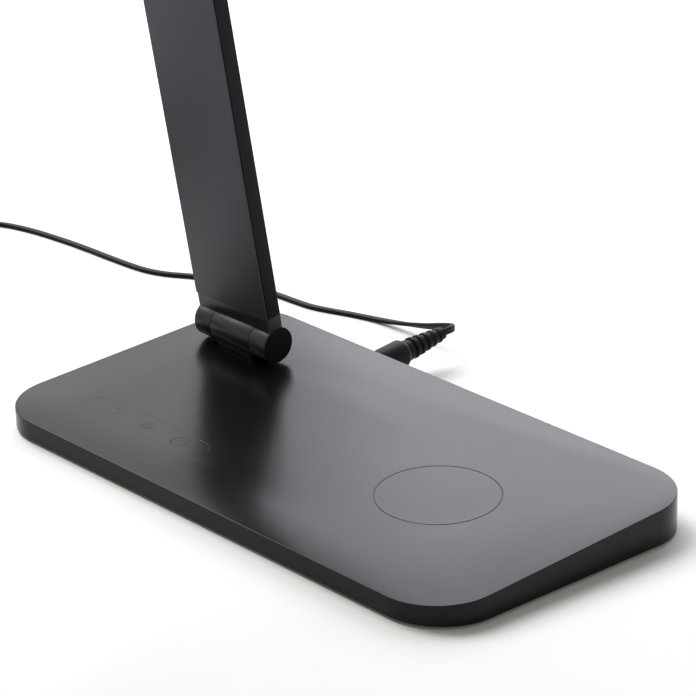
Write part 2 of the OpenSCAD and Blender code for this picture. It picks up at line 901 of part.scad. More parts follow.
// Strap round the coil's bundle at its front
module cord_tie() color("#131314") {
    inner = [5, coil_r0 - coil_r1 + 2.6, coil_mid[1] - coil_mid[0] + coil_cut[1] + 0.3];
    t = 0.5;
    translate([coil_at[0], coil_at[1] - (coil_r0 + coil_r1) / 2 + 0.3, 0])
        difference() {
            translate([-inner[0] / 2, -inner[1] / 2 - t, 0])
                cube([inner[0], inner[1] + 2 * t, inner[2] + t + 0.4]);
            translate([-inner[0], -inner[1] / 2, 0.4])
                cube([2 * inner[0], inner[1], inner[2]]);
        }
}

// ---------- mains adaptor ----------

module on_case() {
    translate([case_at[0], case_at[1], 0])
        children();
}

module adaptor_case() color("#1d1d1f")
    on_case()
        translate([0, 0, case_split])
            mirror([0, 0, 1])
                round_slab(case_size[0], case_size[1], 5, case_split, 2);

module adaptor_face() color("#202022")
    on_case()
        difference() {
            translate([0, 0, case_split])
                round_slab(case_size[0] - 0.4, case_size[1] - 0.4, 4.8,
                    case_size[2] - case_split, 2.4);
            for (s = [-1, 1])
                translate([s * blade_gap / 2 - blade[0] / 2, -blade[1] / 2, case_size[2] - 5])
                    cube([blade[0], blade[1], 10]);
        }

// Two flat blades, each with a hole near its tip
module adaptor_blades() color("#c9b36c")
    on_case()
        for (s = [-1, 1])
            difference() {
                translate([s * blade_gap / 2 - blade[0] / 2, -blade[1] / 2, case_size[2] - 5])
                    cube([blade[0], blade[1], blade[2] + 5]);
                translate([s * blade_gap / 2, 0, case_size[2] + blade[2] - 4])
                    x_rod(1.6, -3, 3);
            }

// Tapered relief where the lead enters the adaptor
module adaptor_relief() color("#19191b")
    translate([case_at[0], case_at[1] + case_size[1] / 2, 6])
        rotate([-90, 0, 0]) {
            cylinder(r1 = 3.6, r2 = 2.2, h = 18);
            for (i = [0 : relief_ribs - 1])
                translate([0, 0, 2.5 + rib_pitch * i])
                    rib_ring(3.9 - 0.25 * i);
        }

// ---------- the lamp ----------

base_cover();
base_plate();
rest_pad();
plate_screws();
ballast_plate();
charge_coil();
coil_shield();
main_board();
touch_board();
dc_jack();
hinge_post();
post_screws();
translate([hinge_x, hinge_y, hinge_z]) friction_discs();  // lower_discs
on_arm() yoke();  // lower_yoke
on_arm() hinge_pin();  // lower_pin
on_arm() pin_nut();  // lower_nut
on_arm() cone_springs();  // lower_springs
on_arm() end_caps();  // lower_caps
arm_channel();
arm_front();
arm_lead();
yoke_screws();
on_upper_end() yoke();  // upper_yoke
on_upper_end() hinge_pin();  // upper_pin
on_upper_end() pin_nut();  // upper_nut
on_upper_end() cone_springs();  // upper_springs
on_upper_end() end_caps();  // upper_caps
head_tongue();
on_head() friction_discs();  // upper_discs
head_shell();
led_board();
reflector();
diffuser();
head_screws();
dc_plug();
plug_barrel();
strain_relief();
cord_run();
cord_coil();
cord_tie();
cord_tail();
adaptor_relief();
adaptor_case();
adaptor_face();
adaptor_blades();
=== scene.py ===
"""Folding desk lamp with a charging spot in its base: its looks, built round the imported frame.

The file is laid out as an add-on: the settings hold sizes and colours, each operator makes one
piece or one group of like pieces, and main() runs them in order.
"""

import math

import bmesh
import bpy
from mathutils import Matrix, Vector


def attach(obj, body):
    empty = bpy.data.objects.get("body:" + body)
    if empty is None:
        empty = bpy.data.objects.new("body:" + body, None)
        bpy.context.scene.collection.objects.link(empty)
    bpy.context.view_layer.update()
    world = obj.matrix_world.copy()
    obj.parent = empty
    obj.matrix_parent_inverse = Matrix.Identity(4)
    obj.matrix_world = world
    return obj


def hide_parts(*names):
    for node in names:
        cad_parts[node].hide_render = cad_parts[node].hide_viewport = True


bl_info = {
    "name": "Folding desk lamp",
    "version": (1, 0, 0),
    "blender": (4, 5, 0),
    "location": "View3D > Sidebar > Desk lamp",
    "description": "Makes the finished pieces of a folding desk lamp with a charging base",
    "category": "Object",
}

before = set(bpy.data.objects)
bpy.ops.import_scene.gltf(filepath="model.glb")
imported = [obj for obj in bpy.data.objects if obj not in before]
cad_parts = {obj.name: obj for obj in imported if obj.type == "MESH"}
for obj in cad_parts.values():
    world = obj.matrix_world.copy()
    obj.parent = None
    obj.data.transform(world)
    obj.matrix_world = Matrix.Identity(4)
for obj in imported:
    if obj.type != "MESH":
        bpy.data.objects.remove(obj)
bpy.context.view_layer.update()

MM = 0.001
# Places closer than this count as one, in metres
SAME = 1e-6

# ---------- sizes of the object, in millimetres, as in the part's source ----------

PAD_H = 1.0
PAD_L = 184.0
PAD_W = 94.0
PAD_CORNER = 14.0
FRONT_H = 6.2
BACK_H = 12.3
BASE_L = 200.0
BASE_W = 110.0
BASE_CORNER = 20.0
TOP_T = 1.8
WALL = 2.0
# Every cutter for a pocket has upright edges of this radius
CUTTER_R = 0.3
SLOPE = math.atan((BACK_H - FRONT_H) / BASE_W)
CHARGE_AT = (46.4, -2.1)
CHARGE_R = 18.9
TOUCH_AT = (-51.4, -32.1)
TOUCH_L = 55.0
TOUCH_W = 10.6
KEYS_X = (-66.9, -51.1, -35.6)
KEYS_Y = -31.8
# The key marks are cut by a rod of this radius whose middle is this high over the surface
MARK_ROD = 0.15
MARK_LIFT = 0.07

# The lower hinge's middle, and the post below it with the room round it in the cover
HINGE = Vector((-72.5, 26.6, 18.3))
POST_W = 16.0
POST_D = 7.0
POST_ROOM = 0.3
# The arm from hinge to hinge: a plate of FRONT_T on a channel, with a seam between them
ARM_L = 330.0
ARM_W = 34.0
ARM_T = 6.3
FRONT_T = 0.9
CHANNEL_SIDE = 1.5
CHANNEL_FLOOR = 1.2
SEAM_DEPTH = 0.4
SEAM_H = 0.35
# Plate and channel begin and end this far from the hinges
YOKE_Z = 10.4
LEAN = math.radians(11.67)
BARREL_R = 6.0
BORE_R = 4.6
CAP_T = 1.1

# The head, as seen from the upper hinge: its underside, near end, far end and lit part's start
HEAD_W = 40.0
HEAD_T = 9.0
HEAD_Z = 3.4
HEAD_NEAR = 7.5
HEAD_REACH = 260.0
LED_NEAR = 38.0
HEAD_WALL = 1.6
HEAD_CORNER = 5.0
# The tongue's pocket: size, middle along the head, and roof over the head's underside
POCKET = (15.8, 40.0, 3.65)
POCKET_Y = -14.1
POCKET_TOP = 2.65
DIFFUSER_T = 2.0
DIFFUSER_ROOM = 0.2

# The jack in the back wall, and where the plug's grip and relief end, measured along it
JACK = Vector((-41.0, 55.0, 7.6))
JACK_TILT = math.radians(6.6)
JACK_HOLE_R = 3.25
GRIP_END = 14.1
RELIEF_END = 31.0

# The adaptor: a back shell up to CASE_SPLIT, and a front shell that is smaller all round
CASE_AT = (-197.5, -45.0)
CASE_SIZE = (44.0, 68.0, 28.0)
CASE_SPLIT = 19.0
CASE_CORNER = 5.0
FACE_STEP = 0.2
RELIEF_Z = 6.0

# The lead: the same points as in the part's source, [x, y, z, twist]
RUN_PATH = [
    (-41, 85.8, 11.16, 90), (-41, 88.6, 11.35, 90), (-41.7, 91.2, 11.1, 90),
    (-43.7, 93.4, 10.4, 86), (-47, 94.7, 9.3, 78), (-51.5, 95.2, 7.9, 66),
    (-56.5, 95.6, 6.3, 52), (-61.8, 96.1, 4.8, 36), (-67.6, 96.6, 3.35, 20),
    (-74, 96.6, 2.05, 8), (-80, 96, 1.2, 0), (-86, 94.7, 0.82, 0),
    (-93, 92.3, 0.72, 0), (-99, 89.8, 0.72, 0), (-106, 87.4, 0.72, 0),
    (-114, 86.5, 0.72, 0), (-122, 86, 0.72, 0), (-132, 84.5, 0.72, 0),
    (-143, 81.5, 0.72, 0), (-154, 76, 0.72, 0), (-163, 69.8, 0.72, 0),
    (-172, 66.6, 0.72, 0), (-187, 65.3, 0.72, 0), (-199, 64.8, 0.72, 0),
    (-211, 63.9, 0.72, 0), (-228, 61.5, 0.72, 0), (-241, 57, 0.85, 10),
    (-250.5, 49, 1.2, 40), (-256, 38, 1.5, 75), (-258, 27, 1.7, 90),
    (-258.2, 18, 1.75, 90), (-258.2, 11.5, 1.75, 90),
]
TAIL_PATH = [
    (-213, 11.5, 4.85, 90), (-213, 17, 4.6, 90), (-212, 20.9, 3.7, 90),
    (-209.1, 23.7, 2.6, 90), (-205.25, 24.75, 1.9, 90), (-201.4, 23.7, 1.9, 90),
    (-198.5, 20.9, 3, 90), (-197.5, 17, 4.6, 90), (-197.5, 11.5, 5.8, 90),
    (-197.5, 7, 6, 90),
]
# Inside the adaptor the lead runs straight on, to this y
LEAD_END_Y = -36.0
# The coil's middle, and the heights of its two layers
COIL_AT = (-235.0, 8.0)
COIL_Z = (1.75, 4.85)
COIL_PITCH = 2.4
COIL_R0 = 23.2
COIL_TURNS = 6
COIL_R1 = COIL_R0 - COIL_PITCH * COIL_TURNS
# No turn of a wound lead is quite round
COIL_WANDER = 0.12
# Steps of the lead's mesh: between two path points, in one turn, in the straight end
PATH_STEPS = 6
TURN_STEPS = 64
END_STEPS = 8


# ---------- settings ----------


class LampFinish(bpy.types.PropertyGroup):
    """Base colours of the lamp's materials"""

    cover: bpy.props.StringProperty(
        name="Cover", description="Colour of the moulded base cover", default="#09090a")
    # The arm's front plate and channel are one anodised finish: the plate's lighter colour is
    # painted light on the arm's front, the channel's darker colour painted shade on its sides
    front: bpy.props.StringProperty(
        name="Arm front", description="Colour of the arm's front plate", default="#48484d")
    channel: bpy.props.StringProperty(
        name="Arm sides", description="Colour of the arm's channel", default="#212124")
    joint: bpy.props.StringProperty(
        name="Joints", description="Colour of the coated hinge castings", default="#131314")
    lead: bpy.props.StringProperty(
        name="Lead", description="Colour of the lead and its mouldings", default="#08080a")


class LampLead(bpy.types.PropertyGroup):
    """Sizes of the flat lead"""

    width: bpy.props.FloatProperty(
        name="Width", description="Width of the twin lead over both cores", default=2.6 * MM,
        min=2 * MM, max=4 * MM, unit="LENGTH")
    thickness: bpy.props.FloatProperty(
        name="Thickness", description="Thickness of the twin lead", default=1.5 * MM,
        min=1 * MM, max=2 * MM, unit="LENGTH")


class LampStage(bpy.types.PropertyGroup):
    """Camera and light"""

    lens: bpy.props.FloatProperty(
        name="Lens", description="Focal length on a sensor 36 mm wide", default=167.13,
        min=50, max=300, unit="CAMERA")
    sky: bpy.props.FloatProperty(
        name="Sky", description="Strength of the even light from all round", default=0.25,
        min=0, max=2)
    floor_lift: bpy.props.FloatProperty(
        name="Floor lift", description="What is added to the floor so that it shows as white",
        default=0.035, min=0, max=1)
    back_lamp: bpy.props.FloatProperty(
        name="Back lamp", description="Power of the soft lamp behind the lamp's base",
        default=23.0, min=0, max=100, unit="POWER")
    corner_lamp: bpy.props.FloatProperty(
        name="Corner lamp", description="Power of the weak lamp that widens the back lamp",
        default=3.7, min=0, max=100, unit="POWER")
    side_lamp: bpy.props.FloatProperty(
        name="Side lamp", description="Power of the soft lamp up at the left", default=43.0,
        min=0, max=100, unit="POWER")


# ---------- small helpers ----------


def srgb(code):
    """A colour code such as #3b393d as linear red, green, blue and alpha."""
    parts = [int(code[i:i + 2], 16) / 255 for i in (1, 3, 5)]
    linear = [c / 12.92 if c <= 0.04045 else ((c + 0.055) / 1.055) ** 2.4 for c in parts]
    return (*linear, 1.0)


def add_node(tree, kind, links=None, inputs=None, **settings):
    """Adds a shader node, sets its settings and its sockets, and links what feeds it."""
    made = tree.nodes.new(kind)
    for key, value in settings.items():
        setattr(made, key, value)
    for key, value in (inputs or {}).items():
        made.inputs[key].default_value = value
    for key, socket in (links or {}).items():
        tree.links.new(socket, made.inputs[key])
    return made


def new_material(name, code, values):
    """A material of one base colour, with other sockets of its Principled shader set."""
    material = bpy.data.materials.new(name)
    material.use_nodes = True
    tree = material.node_tree
    shader = tree.nodes["Principled BSDF"]
    shader.inputs["Base Color"].default_value = srgb(code)
    for key, value in values.items():
        shader.inputs[key].default_value = value
    return material, tree, shader


def to_m(*values):
    """Millimetres as metres."""
    return [v * MM for v in values]


def deselect():
    bpy.ops.object.select_all(action="DESELECT")


def make_active(piece):
    deselect()
    piece.select_set(True)
    bpy.context.view_layer.objects.active = piece


def edit(piece):
    """Edit mode on one piece, with nothing selected."""
    make_active(piece)
    bpy.ops.object.mode_set(mode="EDIT")
    bpy.ops.mesh.select_mode(type="VERT")
    bpy.ops.mesh.select_all(action="DESELECT")


def leave_edit():
    bpy.ops.object.mode_set(mode="OBJECT")


def pick_edges(piece, test):
    """Selects the edges that pass a test, in edit mode."""
    bpy.ops.mesh.select_mode(type="EDGE")
    bm = bmesh.from_edit_mesh(piece.data)
    bpy.ops.mesh.select_all(action="DESELECT")
    for edge in bm.edges:
        if test(edge):
            edge.select_set(True)
    bmesh.update_edit_mesh(piece.data)


def place(piece, matrix):
    """Moves a piece to its place and puts that place in its mesh."""
    piece.matrix_world = matrix @ piece.matrix_world
    make_active(piece)
    bpy.ops.object.transform_apply(location=True, rotation=True, scale=True)


def dress(piece, look):
    """Gives a piece or a carried-over node its only material."""
    piece.data.materials.clear()
    piece.data.materials.append(MATERIALS[look])


def finish_piece(piece, name, look, body, replaced, smooth=30):
    """Smooths edges below an angle in degrees, names and dresses a piece, puts it on its body."""
    make_active(piece)
    bpy.ops.object.shade_smooth_by_angle(angle=math.radians(smooth))
    piece.name = name
    piece.data.name = name
    dress(piece, look)
    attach(piece, body)
    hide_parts(*replaced)


def block(name, size, corner, centre=(0, 0, 0), top=0.0, bottom=0.0, corner_steps=12, steps=3):
    """A box with round upright edges, and with its top and bottom rims eased."""
    bpy.ops.mesh.primitive_cube_add(size=1, location=to_m(*centre), scale=to_m(*size))
    piece = bpy.context.object
    piece.name = name
    bpy.ops.object.transform_apply(location=False, rotation=False, scale=True)
    edit(piece)
    pick_edges(piece, lambda e: abs(e.verts[0].co.z - e.verts[1].co.z) > size[2] * MM / 2)
    bpy.ops.mesh.bevel(offset=corner * MM, segments=corner_steps, affect="EDGES")
    half = size[2] * MM / 2
    for ease, level in ((top, half), (bottom, -half)):
        if ease:
            pick_edges(piece, lambda e: all(abs(v.co.z - level) < SAME for v in e.verts))
            bpy.ops.mesh.bevel(offset=ease * MM, segments=steps, affect="EDGES")
    leave_edit()
    bpy.ops.object.transform_apply(location=True, rotation=False, scale=False)
    return piece


def lathe(name, profile, steps=64):
    """A round piece about Z: a disc, extruded and resized ring by ring along its outline."""
    r, z = profile[0]
    bpy.ops.mesh.primitive_circle_add(vertices=steps, radius=r * MM, fill_type="NGON",
                                      location=to_m(0, 0, z))
    piece = bpy.context.object
    piece.name = name
    bpy.ops.object.transform_apply(location=True, rotation=False, scale=False)
    bpy.ops.object.mode_set(mode="EDIT")
    bpy.ops.mesh.select_mode(type="FACE")
    bpy.ops.mesh.select_all(action="SELECT")
    for next_r, next_z in profile[1:]:
        bpy.ops.mesh.extrude_region_move(
            TRANSFORM_OT_translate={"value": to_m(0, 0, next_z - z)})
        bpy.ops.transform.resize(value=(next_r / r, next_r / r, 1), center_override=(0, 0, 0))
        r, z = next_r, next_z
    bpy.ops.mesh.select_all(action="SELECT")
    bpy.ops.mesh.normals_make_consistent(inside=False)
    leave_edit()
    return piece


def cut(piece, *cutters):
    """Cuts other meshes out of a piece and removes them."""
    for cutter in cutters:
        modifier = piece.modifiers.new("cut", "BOOLEAN")
        modifier.operation = "DIFFERENCE"
        modifier.solver = "EXACT"
        modifier.object = cutter
        make_active(piece)
        bpy.ops.object.modifier_apply(modifier=modifier.name)
        bpy.data.objects.remove(cutter)


def eased_copy(node_name, width, angle=30, flat=0.4, steps=2):
    """A merged copy of a node's mesh, with its sharp edges rounded. Angles are in degrees."""
    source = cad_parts[node_name]
    piece = bpy.data.objects.new(node_name + "_copy", source.data.copy())
    bpy.context.scene.collection.objects.link(piece)
    edit(piece)
    bpy.ops.mesh.select_all(action="SELECT")
    bpy.ops.mesh.remove_doubles(threshold=2 * SAME)
    bpy.ops.mesh.dissolve_limited(angle_limit=math.radians(flat))
    leave_edit()
    modifier = piece.modifiers.new("ease", "BEVEL")
    modifier.width = width * MM
    modifier.segments = steps
    modifier.limit_method = "ANGLE"
    modifier.angle_limit = math.radians(angle)
    modifier.use_clamp_overlap = True
    bpy.ops.object.modifier_apply(modifier=modifier.name)
    return piece


# ---------- frames ----------


def top_frame():
    """The sloping top: x along the base, y up the slope, z out of the surface."""
    middle = PAD_H + (FRONT_H + BACK_H) / 2
    return Matrix.Translation(to_m(0, 0, middle)) @ Matrix.Rotation(SLOPE, 4, "X")


def arm_frame(z=0.0):
    """The arm: z runs from the lower hinge to the upper one, -y is its front."""
    return (Matrix.Translation(HINGE * MM) @ Matrix.Rotation(LEAN, 4, "X")
            @ Matrix.Translation(to_m(0, 0, z)))


def head_frame():
    """The upper hinge, with the axes of the whole lamp."""
    return Matrix.Translation(arm_frame(ARM_L).to_translation())


def jack_frame():
    """The jack: z points out of the back wall, along the plug."""
    return (Matrix.Translation(JACK * MM)
            @ Matrix.Rotation(JACK_TILT - math.pi / 2, 4, "X"))


# ---------- materials ----------

# Depth of every grain, and size of the patches in which gloss changes, in millimetres
GRAIN_DEPTH = 0.05
GLOSS_PATCH = 35.0


def grain(tree, shader, size, strength, roughness, spread):
    """A fine even grain: bump of a size in millimetres, and a little change in roughness."""
    where = add_node(tree, "ShaderNodeTexCoord").outputs["Object"]
    noise = add_node(tree, "ShaderNodeTexNoise", {"Vector": where},
                     {"Scale": 1 / (size * MM), "Detail": 2.0, "Roughness": 0.6})
    bump = add_node(tree, "ShaderNodeBump", {"Height": noise.outputs["Fac"]},
                    {"Strength": strength, "Distance": GRAIN_DEPTH * MM})
    slow = add_node(tree, "ShaderNodeTexNoise", {"Vector": where},
                    {"Scale": 1 / (GLOSS_PATCH * MM), "Detail": 3.0})
    rough = add_node(tree, "ShaderNodeMapRange", {"Value": slow.outputs["Fac"]},
                     {"From Min": 0.0, "From Max": 1.0, "To Min": roughness - 2 * spread,
                      "To Max": roughness + 2 * spread})
    tree.links.new(bump.outputs["Normal"], shader.inputs["Normal"])
    tree.links.new(rough.outputs["Result"], shader.inputs["Roughness"])


def moulded_abs(name, code, roughness=0.24, ior=1.28):
    """ABS moulded against a fine spark-eroded tool: a satin skin that mirrors softly."""
    material, tree, shader = new_material(name, code, {"IOR": ior})
    # The grain is 0.1 mm on the tool and is drawn at 0.5 mm, so that it shows at this distance
    grain(tree, shader, size=0.5, strength=0.08, roughness=roughness, spread=0.02)
    return material


def anodised_aluminium(name, code):
    """Rolled and extruded aluminium, bead-blasted and anodised black: an even dull sheen."""
    material, tree, shader = new_material(name, code, {"Metallic": 1.0})
    # Blasting grit leaves pits of about 0.1 mm, drawn here at 0.4 mm
    grain(tree, shader, size=0.4, strength=0.12, roughness=0.55, spread=0.03)
    return material


def powder_coat(name, code):
    """Zinc castings under a satin powder coat, with its faint orange peel."""
    material, tree, shader = new_material(name, code, {"IOR": 1.41})
    grain(tree, shader, size=0.9, strength=0.08, roughness=0.36, spread=0.03)
    return material


def soft_pvc(name, code):
    """Moulded PVC of leads and reliefs: dull, and a little uneven."""
    material, tree, shader = new_material(name, code, {"IOR": 1.22})
    grain(tree, shader, size=0.6, strength=0.12, roughness=0.42, spread=0.05)
    return material


def silicone(name, code):
    """Cast silicone rubber of the rest pad: matt and slightly dusty."""
    material, tree, shader = new_material(name, code, {"IOR": 1.41})
    grain(tree, shader, size=0.8, strength=0.3, roughness=0.7, spread=0.06)
    return material


def plated_metal(name, code, roughness):
    """Bright metal plate over steel or brass: mirrors softly, with fine wear."""
    material, tree, shader = new_material(name, code, {"Metallic": 1.0})
    grain(tree, shader, size=0.5, strength=0.05, roughness=roughness, spread=0.05)
    return material


def circuit_board(name, code):
    """Glass-fibre board under glossy solder mask."""
    material, tree, shader = new_material(name, code, {"IOR": 1.55})
    grain(tree, shader, size=1.2, strength=0.1, roughness=0.3, spread=0.05)
    return material


def opal_acrylic(name, code):
    """Opal acrylic diffuser, frosted on its outer face: light spreads a little inside it."""
    material, tree, shader = new_material(name, code, {
        "IOR": 1.49, "Subsurface Weight": 0.3, "Subsurface Scale": 1.0,
        "Subsurface Radius": to_m(1.2, 1.2, 1.1)})
    grain(tree, shader, size=0.4, strength=0.05, roughness=0.5, spread=0.03)
    return material


MATERIALS = {}


def make_materials():
    """Makes every material once, under the key that the pieces ask for."""
    finish = bpy.context.scene.lamp_finish
    MATERIALS.update({
        "cover": moulded_abs("satin_abs_charcoal", finish.cover),
        "case": moulded_abs("satin_abs_black", "#1c1c1d", 0.38),
        "cap": moulded_abs("satin_abs_deep_black", "#0f0f10", 0.35, 1.25),
        # One anodised finish in two tones: the front plate's colour is painted light, the
        # channel's painted shade
        "front": anodised_aluminium("anodised_plate_charcoal", finish.front),
        "channel": anodised_aluminium("anodised_channel_black", finish.channel),
        "joint": powder_coat("powder_coated_zinc_black", finish.joint),
        "lead": soft_pvc("soft_pvc_black", finish.lead),
        "pad": silicone("silicone_black", "#161617"),
        "steel": plated_metal("zinc_plated_steel", "#a9abae", 0.35),
        "nickel": plated_metal("nickel_plate", "#cfcdc8", 0.18),
        "bronze": plated_metal("friction_bronze", "#b08d57", 0.4),
        "copper": plated_metal("enamelled_copper", "#b8693c", 0.35),
        "ferrite": moulded_abs("sintered_ferrite", "#39393b", 0.7, 1.5),
        "board": circuit_board("green_solder_mask", "#1e5a38"),
        "led_board": circuit_board("white_solder_mask", "#e6e4da"),
        "white": moulded_abs("white_polycarbonate", "#ecebe6", 0.5, 1.58),
        "opal": opal_acrylic("opal_acrylic_frosted", "#efede6"),
    })


# The material of each node that is carried over from the frame
NODE_LOOKS = {
    "cover": ("dc_jack",),
    "steel": ("base_plate", "ballast_plate", "plate_screws", "post_screws", "yoke_screws",
              "lower_pin", "upper_pin", "lower_nut", "upper_nut", "lower_springs",
              "upper_springs", "head_screws"),
    "bronze": ("lower_discs", "upper_discs"),
    "copper": ("charge_coil",),
    "ferrite": ("coil_shield",),
    "board": ("main_board", "touch_board"),
    "led_board": ("led_board",),
    "white": ("reflector",),
    "lead": ("arm_lead",),
    "nickel": ("plug_barrel",),
}


# ---------- the lead ----------


def spline(a, b, c, d, t):
    """Catmull-Rom curve between b and c."""
    return [(2 * q + (r - p) * t + (2 * p - 5 * q + 4 * r - s) * t * t
             + (3 * q - p - 3 * r + s) * t ** 3) / 2 for p, q, r, s in zip(a, b, c, d)]


def smooth_path(points):
    """The smooth curve through the points."""
    last = len(points) - 1
    out = []
    for i in range(last):
        around = [points[max(0, min(last, i + k))] for k in (-1, 0, 1, 2)]
        out += [spline(*around, s / PATH_STEPS) for s in range(PATH_STEPS)]
    return out + [list(points[last])]


def rise(t):
    """Smooth step from 0 to 1 with no kink at either end."""
    t = max(0.0, min(1.0, t))
    return t ** 3 * (t * (6 * t - 15) + 10)


def coil_path():
    """The coil: in towards its middle on the lower layer, out again on the upper one."""
    out = []
    for i in range(int(TURN_STEPS * (2 * COIL_TURNS - 0.5)) + 1):
        turns = i / TURN_STEPS
        angle = math.pi + math.tau * turns
        wander = COIL_WANDER * math.sin(2.3 * angle) * math.sin(0.31 * angle)
        radius = COIL_R1 + COIL_PITCH * abs(turns - COIL_TURNS) + wander
        climb = rise(2 * (turns - COIL_TURNS) + 0.5)
        out.append([COIL_AT[0] + radius * math.cos(angle), COIL_AT[1] + radius * math.sin(angle),
                    COIL_Z[0] + (COIL_Z[1] - COIL_Z[0]) * climb, 90.0])
    return out


def lead_section(width, thickness, steps=10, web_at=133.92857):
    """Outline of the twin lead: two round cores, each open to a thin web past an angle."""
    core = thickness / 2
    out = []
    for side in (1, -1):
        for k in range(steps):
            a = math.radians(web_at) * (2 * (k + 0.5) / steps - 1)
            x = side * (width / 2 - core + core * math.cos(a))
            out.append((x, side * core * math.sin(a)))
    return out


def sweep(name, path, section, ends):
    """A tube of one section along points [x, y, z, twist], in millimetres, with its ends closed.

    ends holds the headings at the first and the last point."""
    centres = [Vector(p[:3]) for p in path]
    last = len(path) - 1
    points = []
    for i, c in enumerate(centres):
        if i in (0, last):
            heading = Vector(ends[0 if i == 0 else 1]).normalized()
        else:
            heading = (centres[i + 1] - centres[i - 1]).normalized()
        side = Vector((0, 0, 1)).cross(heading).normalized()
        up = heading.cross(side)
        turn = math.radians(path[i][3])
        wide = side * math.cos(turn) + up * math.sin(turn)
        thin = up * math.cos(turn) - side * math.sin(turn)
        points += [(c + wide * x + thin * y) * MM for x, y in section]
    n = len(section)
    faces = [(i * n + k, i * n + (k + 1) % n, (i + 1) * n + (k + 1) % n, (i + 1) * n + k)
             for i in range(last) for k in range(n)]
    faces += [tuple(range(n))[::-1], tuple(range(last * n, last * n + n))]
    mesh = bpy.data.meshes.new(name)
    mesh.from_pydata(points, [], faces)
    piece = bpy.data.objects.new(name, mesh)
    bpy.context.scene.collection.objects.link(piece)
    edit(piece)
    bpy.ops.mesh.select_all(action="SELECT")
    bpy.ops.mesh.normals_make_consistent(inside=False)
    leave_edit()
    return piece


class LAMP_OT_lead(bpy.types.Operator):
    """Makes the flat lead from the plug's relief to the adaptor, coil included"""

    bl_idname = "lamp.lead"
    bl_label = "Lead"

    def execute(self, context):
        sizes = context.scene.lamp_lead
        path = smooth_path(RUN_PATH)[:-1] + coil_path()[1:] + smooth_path(TAIL_PATH)[1:]
        x, y, z, twist = path[-1]
        path += [[x, y + (LEAD_END_Y - y) * (k + 1) / END_STEPS, z, twist]
                 for k in range(END_STEPS)]
        section = lead_section(sizes.width / MM, sizes.thickness / MM)
        lead = sweep("power_lead", path, section,
                     ((0, math.cos(JACK_TILT), math.sin(JACK_TILT)), (0, -1, 0)))
        finish_piece(lead, "power_lead", "lead", "base",
                     ("cord_run", "cord_coil", "cord_tail"), smooth=50)
        return {"FINISHED"}


# ---------- stage ----------


class LAMP_OT_camera(bpy.types.Operator):
    """Sets the camera where the photograph was taken from"""

    bl_idname = "lamp.camera"
    bl_label = "Camera"

    azimuth = math.radians(46.582)
    elevation = math.radians(22.264)
    roll = math.radians(0.871)
    target = Vector(to_m(-69.888, 70.799, 1.0))
    distance = 1.073755

    def execute(self, context):
        back = Vector((math.sin(self.azimuth) * math.cos(self.elevation),
                       -math.cos(self.azimuth) * math.cos(self.elevation),
                       math.sin(self.elevation)))
        right = (-back).cross(Vector((0, 0, 1))).normalized()
        up = right.cross(-back)
        c, s = math.cos(self.roll), math.sin(self.roll)
        x_axis = right * c + up * s
        y_axis = up * c - right * s
        data = bpy.data.cameras.new("camera")
        data.lens = context.scene.lamp_stage.lens
        data.sensor_width = 36
        data.clip_start = 0.05
        data.clip_end = 50
        camera = bpy.data.objects.new("camera", data)
        context.scene.collection.objects.link(camera)
        turn = Matrix((x_axis, y_axis, back)).transposed().to_4x4()
        camera.matrix_world = Matrix.Translation(self.target + back * self.distance) @ turn
        context.scene.camera = camera
        return {"FINISHED"}


def seen_rays(tree):
    """1 for the rays that show a thing to the eye, in a mirror or through glass, else 0."""
    rays = add_node(tree, "ShaderNodeLightPath")
    seen = add_node(tree, "ShaderNodeMath", {0: rays.outputs["Is Camera Ray"],
                                             1: rays.outputs["Is Glossy Ray"]},
                    operation="MAXIMUM")
    return add_node(tree, "ShaderNodeMath", {0: seen.outputs[0],
                                             1: rays.outputs["Is Transmission Ray"]},
                    operation="MAXIMUM").outputs[0]


def soft_lamp(name, power, location, size, colour):
    """A large soft lamp that faces the base."""
    data = bpy.data.lights.new(name, "AREA")
    data.shape = "RECTANGLE"
    data.size, data.size_y = size
    data.energy = power
    data.color = colour
    lamp = bpy.data.objects.new(name, data)
    bpy.context.scene.collection.objects.link(lamp)
    lamp.location = location
    lamp.rotation_euler = (-Vector(location)).to_track_quat("-Z", "Y").to_euler()


